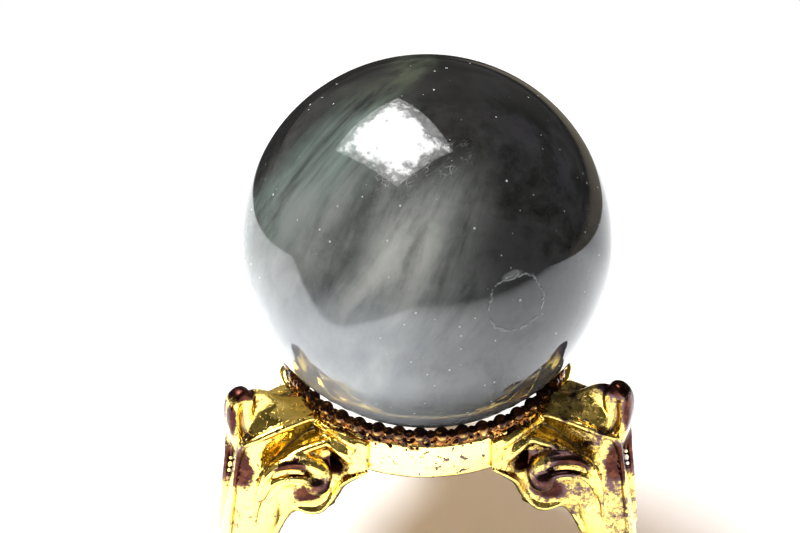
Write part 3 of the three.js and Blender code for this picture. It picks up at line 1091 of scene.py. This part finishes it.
def bracket_rings():
    """The bracket between the ring and the roll: gabled top, ridges with flutes between, and keel."""
    # Reach; height of the crest; side and height of the upper ridge; height of the flute;
    # side and height of the lower ridge; side of the plate; height of the keel
    stations = [
        [15.3, 32.4, 4, 31.7, 29.4, 6.8, 29.2, 6.4, 18.2],
        [19.3, 32.6, 3.8, 31.9, 29.6, 6.6, 29.2, 6.4, 17.4],
        [21.1, 33.0, 3.6, 31.9, 29.4, 6, 28.9, 6, 16.9],
        [22.7, 33.8, 3.7, 31.9, 29.0, 5.5, 28.5, 5.5, 17.4],
        [24.1, 34.9, 3.6, 31.6, 28.0, 5.2, 27.9, 5, 17.4],
        [25.1, 35.7, 3.4, 31.4, 27.2, 5, 27.4, 4.6, 16.2],
        [26.2, 36.3, 3.2, 31.1, 26.2, 4.8, 26.8, 3.9, 15.0],
        [27.4, 36.5, 2.8, 30.8, 24.2, 4.6, 26.0, 3.4, 15.4],
        [28.6, 35.2, 2.2, 30.4, 22.9, 3.9, 23.2, 2.8, 16.4],
    ]
    rings = []
    for row in smooth_rows(stations, 5):
        reach, crest, high_side, high, flute, low_side, low, plate, keel = row
        flute_side = high_side * 0.5 + min(high_side, low_side) * 0.45
        near = [
            [0, crest + 0.05],
            [0.5, crest - 0.2],
            [high_side * 0.36, crest * 0.45 + high * 0.55],
            [high_side * 0.68, crest * 0.2 + high * 0.8],
            [high_side - 0.3, high - 0.1],
            [high_side, high - 0.2],
            [flute_side, flute],
            [low_side - 0.8, low + 0.5],
            [low_side, low],
            [plate, low - 1.6],
            [plate, keel + 1],
            [plate - 1, keel],
            [0, keel],
        ]
        near = smooth_rows(near, 3)
        outline = near + [(-side, height) for side, height in near[-2:0:-1]]
        rings.append([Vector((reach, side, height)) for side, height in outline])
    return rings


def leaf_rings():
    """The leaf at the root, which hugs the ring and drops towards the scrolls."""
    low_edge, top_edge = RING_LOW.z / MM, RING_HIGH.z / MM
    rings = []
    for index in range(61):
        share = index / 30 - 1
        turn = math.radians(35 * share)
        rise = 1 - abs(share)
        thick = 0.35 + 0.65 * smooth_step(rise, 0.25, 0.7)
        low = low_edge + 0.3 - 8.4 * smooth_step(rise, 0.03, 0.63)
        profile = [
            [-1.2, low],
            [thick * 0.3, low],
            [thick * 0.6, low + 0.5],
            [thick * 0.5, top_edge - 4],
            [thick * 0.75, top_edge - 2.8],
            [thick * 0.4, top_edge - 1.7],
            [thick * 0.5, top_edge - 1.0],
            [0.05, top_edge - 0.5],
            [-1.2, top_edge - 0.5],
        ]
        ring = []
        for level, height in profile:
            radius = RING_HIGH.x / MM + 0.3 + level
            ring.append(Vector((radius * math.cos(turn), radius * math.sin(turn), height)))
        rings.append(ring)
    return rings


def on_ring(route, radius):
    """Points on the ring's face from pairs of turn in degrees and height."""
    turned = [(math.radians(turn), height) for turn, height in route]
    return [(radius * math.cos(turn), radius * math.sin(turn), height) for turn, height in turned]


def mirrored(route):
    return [(x, -y, z) for x, y, z in route]


def leg_details():
    """Rolled edges, lobes and lips as routes with a radius at each point."""
    ridge_high = (
        [(20.2, 3.9, 31.7), (21.5, 3.8, 31.8), (24.5, 3.6, 31.6), (26.5, 3.3, 31.2), (28.2, 2.9, 30.7),
         (29.6, 2.2, 30), (30.3, 1.7, 28.4), (30.7, 1.5, 26), (31.3, 1.45, 22.6), (31.9, 1.4, 18.5),
         (32.5, 1.4, 14)],
        [0.5, 0.5, 0.55, 0.55, 0.55, 0.5, 0.45, 0.4, 0.35, 0.3, 0.25],
    )
    ridge_low = (
        [(19.8, 6.6, 29.2), (22.6, 5.7, 28.5), (25.3, 5.1, 27.5), (27.4, 4.7, 26.2), (28.7, 4.25, 23.4),
         (29.3, 4, 20), (29.7, 3.9, 17)],
        [0.55, 0.6, 0.6, 0.55, 0.5, 0.4, 0.3],
    )
    scroll = (
        [(29.1, 4, 20.4), (28.5, 4.3, 23.6), (27.4, 4.7, 26.0), (25.8, 5.3, 27.1), (24, 6, 27.2),
         (22.1, 6.8, 26.5), (20.9, 7.3, 24.9), (21.6, 7.1, 23.5)],
        [0.45, 0.6, 0.75, 0.9, 1.05, 1.2, 1.45, 1.9],
    )
    lip = (
        [(22.4, 7.2, 24.0), (24.2, 6.4, 24.8), (26.2, 5.5, 24.8), (27.8, 4.8, 23.5), (28.4, 4.4, 21.5)],
        [0.65, 0.6, 0.55, 0.5, 0.3],
    )
    outer_lobe = (on_ring([(19, 30.3), (24.5, 30.5), (28.5, 30), (32, 29)], 19.65), [0.7, 0.95, 0.8, 0.4])
    inner_lobe = (
        on_ring([(14, 28.6), (19, 28.7), (24, 28.2), (27.5, 27.2)], 19.9),
        [0.9, 1.05, 1.0, 0.6],
    )
    seam_edge = (on_ring([(34.8, 30.4), (34.6, 28.4), (34.3, 26.5)], 19.8), [0.3, 0.35, 0.3])
    low_edge = (
        on_ring([(35.2, 26.1), (28.5, 24.1), (24, 22.3), (20.3, 19.8)], 20.1)
        + [(20.0, 6.4, 18.1), (21.0, 6.2, 17.5), (22.3, 5.8, 17.6), (23.7, 5, 18.3)],
        [0.25, 0.4, 0.45, 0.5, 0.5, 0.5, 0.45, 0.4],
    )
    root_edge = (
        [(23.7, 4, 18.1), (24.5, 4, 17.7), (25.4, 4, 16.4), (26.4, 4, 14.8), (26.8, 4, 13.9)],
        [0.5, 0.5, 0.5, 0.5, 0.45],
    )
    return [ridge_high, ridge_low, scroll, lip, outer_lobe, inner_lobe, seam_edge, low_edge, root_edge]


def tarnished_places():
    """Middles and half lengths of the places where a leg has lost most of its gilding."""
    places = [((28.6, 0, 37.0), (3.4, 4, 1.6)), ((32, 0, 3), (7, 5, 3))]
    for hand in (1, -1):
        places += [
            ((30.4, 2.3 * hand, 25.6), (2.8, 3.0, 5.6)),
            ((31.4, 1.4 * hand, 34.6), (1.7, 2.3, 6.0)),
            ((28.5, 3.2 * hand, 34.6), (1.7, 2.3, 5.2)),
            ((22.0, 5.6 * hand, 20.8), (3.6, 2.4, 2.6)),
            ((24.8, 6.2 * hand, 26.6), (5.4, 2.1, 2.4)),
            ((21.6, 7.2 * hand, 23.4), (3.4, 3.0, 3.2)),
            ((19.3, 7.2 * hand, 25.3), (2.2, 3.4, 2.2)),
        ]
    return places


# The hollows on the side of +Y, as middle, half lengths and depth: the drop in each cheek of the roll,
# the flute below it and two inside each scroll
HOLLOWS = (
    ((29.2, 1.6, 32.9), (1.0, 1.7, 4.4), 0.75),
    ((30.4, 2.9, 23.6), (1.5, 1.5, 5.4), 0.75),
    ((25.9, 5.6, 25.9), (1.7, 1.8, 0.75), 0.7),
    ((25.2, 5.6, 21.6), (2.2, 2.0, 1.6), 0.45),
)
# The round room for the ring: radius, lower and upper end
RING_ROOM = (19.56, 6, 46)


def cut_root(carrier):
    """Takes away the round room for the ring and all that is below the floor."""
    ring_room = bmesh.new()
    cylinder(ring_room, *RING_ROOM, segments=192)
    below_floor = bmesh.new()
    block(below_floor, (200, 200, 20), (0, 0, -10))
    return [cut_away(carrier, ring_room, "ring_room"), cut_away(carrier, below_floor, "floor_room")]


def leg_mesh(grain):
    """One leg in the leg frame, in millimetres."""
    shape = bmesh.new()
    loft(shape, spine_rings())
    loft(shape, bracket_rings())
    loft(shape, leaf_rings())
    for route, radii in leg_details():
        tube(shape, route, radii)
        tube(shape, mirrored(route), radii)
    mesh = evaluated_mesh(shape, "leg_skin", lambda carrier: fuse(carrier, grain, 7))

    points = positions(mesh)
    outwards = normals(mesh)
    for hand in (1, -1):
        for (reach, side, height), halves, depth in HOLLOWS:
            closeness = ellipsoid_closeness(points, (reach, side * hand, height), halves)
            points -= outwards * (closeness * depth)[:, None]
    set_positions(mesh, points)

    shape = bmesh.new()
    shape.from_mesh(mesh)
    bpy.data.meshes.remove(mesh)
    bmesh.ops.smooth_vert(
        shape, verts=shape.verts, factor=0.5, use_axis_x=True, use_axis_y=True, use_axis_z=True
    )
    return evaluated_mesh(shape, "leg_cast", cut_root)


class ORNAMENT_OT_legs(bpy.types.Operator):
    """Makes the three cast scroll legs"""

    bl_idname = "ornament.legs"
    bl_label = "Scroll Legs"

    def execute(self, context):
        settings = context.scene.ornament_legs
        cast = leg_mesh(settings.grain)
        mark_ridges(cast, LEG_RELIEF)
        mark_places(cast, tarnished_places())
        material = gold_material(
            "gold_legs", settings.gold, settings.tarnish, ridge_wear=0.8, bloom=0.3, spots=0.8
        )
        for node, turn in LEG_TURNS.items():
            mesh = cast.copy()
            mesh.transform(leg_place(turn))
            add_piece(node + "_cast", mesh, node, "stand", material)
        bpy.data.meshes.remove(cast)
        return {"FINISHED"}


# Screws


# The screws, in metres
SCREW_HEAD_HEIGHT = 0.0012
SCREW_SHANK_RADIUS = 0.001
SCREW_OVERLAP = 0.0001
SCREW_BEVEL = 0.00016
SLOT_SIZE = (0.0005, 0.01, 0.001)


def screw_mesh(head_radius, length):
    """A cheese-head screw along +Z with its slotted head at the bottom."""
    shape = bmesh.new()
    for radius, low, high in (
        (head_radius, 0, SCREW_HEAD_HEIGHT),
        (SCREW_SHANK_RADIUS, SCREW_HEAD_HEIGHT - SCREW_OVERLAP, length),
    ):
        made = cylinder(shape, radius, low, high, 48)
        rims = {edge for vert in made for edge in vert.link_edges if len(edge.link_faces) == 2}
        bmesh.ops.bevel(
            shape,
            geom=[edge for edge in rims if abs(edge.calc_face_angle(0)) > 1],
            offset=SCREW_BEVEL,
            offset_type="OFFSET",
            affect="EDGES",
            segments=3,
            profile=0.5,
            material=-1,
        )

    def cut_slot(carrier):
        slot = bmesh.new()
        block(slot, SLOT_SIZE)
        return [cut_away(carrier, slot, "slot", use_self=True)]

    return evaluated_mesh(shape, "screw", cut_slot)


def screw_material():
    """Turned brass with fine turning marks."""
    material, tree, shader = new_material("turned_brass", {"Metallic": 1, "Roughness": 0.33})
    shade = noise_of(object_place(tree), 700, 3)
    brass = mix_colours(shade, (0.48, 0.34, 0.15), (0.66, 0.5, 0.26))
    cover(shader, brass, shade, 0.3, 0.0001)
    return material


class ORNAMENT_OT_screws(bpy.types.Operator):
    """Makes the slotted screws that hold the legs to the ring"""

    bl_idname = "ornament.screws"
    bl_label = "Leg Screws"

    def execute(self, context):
        head_radius = (SCREW_HIGH.z - SCREW_LOW.z) / 2
        height = (SCREW_HIGH.z + SCREW_LOW.z) / 2
        near, far = SCREW_LOW.y - AXIS.y, SCREW_HIGH.y - AXIS.y
        lay = Matrix.Translation((near, 0, height)) @ Matrix.Rotation(math.pi / 2, 4, "Y")
        material = screw_material()
        for node, turn in SCREW_TURNS.items():
            mesh = screw_mesh(head_radius, far - near)
            mesh.transform(round_axis(turn) @ lay)
            add_piece(node + "_turned", mesh, node, "stand", material)
        return {"FINISHED"}


# Add-on


class ORNAMENT_PT_pieces(bpy.types.Panel):
    """Lists the pieces and the stage"""

    bl_idname = "ORNAMENT_PT_pieces"
    bl_label = "Stone Ball Stand"
    bl_space_type = "VIEW_3D"
    bl_region_type = "UI"
    bl_category = "Ornament"

    def draw(self, context):
        for operator in OPERATORS:
            self.layout.operator(operator.bl_idname)


OPERATORS = (
    ORNAMENT_OT_stage,
    ORNAMENT_OT_ball,
    ORNAMENT_OT_ring,
    ORNAMENT_OT_beads,
    ORNAMENT_OT_legs,
    ORNAMENT_OT_screws,
)
SETTINGS = {
    "ornament_stage": StageSettings,
    "ornament_ball": BallSettings,
    "ornament_ring": RingSettings,
    "ornament_legs": LegSettings,
}


def register():
    for group in SETTINGS.values():
        bpy.utils.register_class(group)
    for name, group in SETTINGS.items():
        setattr(bpy.types.Scene, name, PointerProperty(type=group))
    for operator in OPERATORS:
        bpy.utils.register_class(operator)
    bpy.utils.register_class(ORNAMENT_PT_pieces)


def unregister():
    bpy.utils.unregister_class(ORNAMENT_PT_pieces)
    for operator in reversed(OPERATORS):
        bpy.utils.unregister_class(operator)
    for name in SETTINGS:
        delattr(bpy.types.Scene, name)
    for group in SETTINGS.values():
        bpy.utils.unregister_class(group)


def main():
    register()
    bpy.ops.ornament.stage()
    bpy.ops.ornament.ball()
    bpy.ops.ornament.ring()
    bpy.ops.ornament.beads()
    bpy.ops.ornament.legs()
    bpy.ops.ornament.screws()


if __name__ == "__main__":
    main()
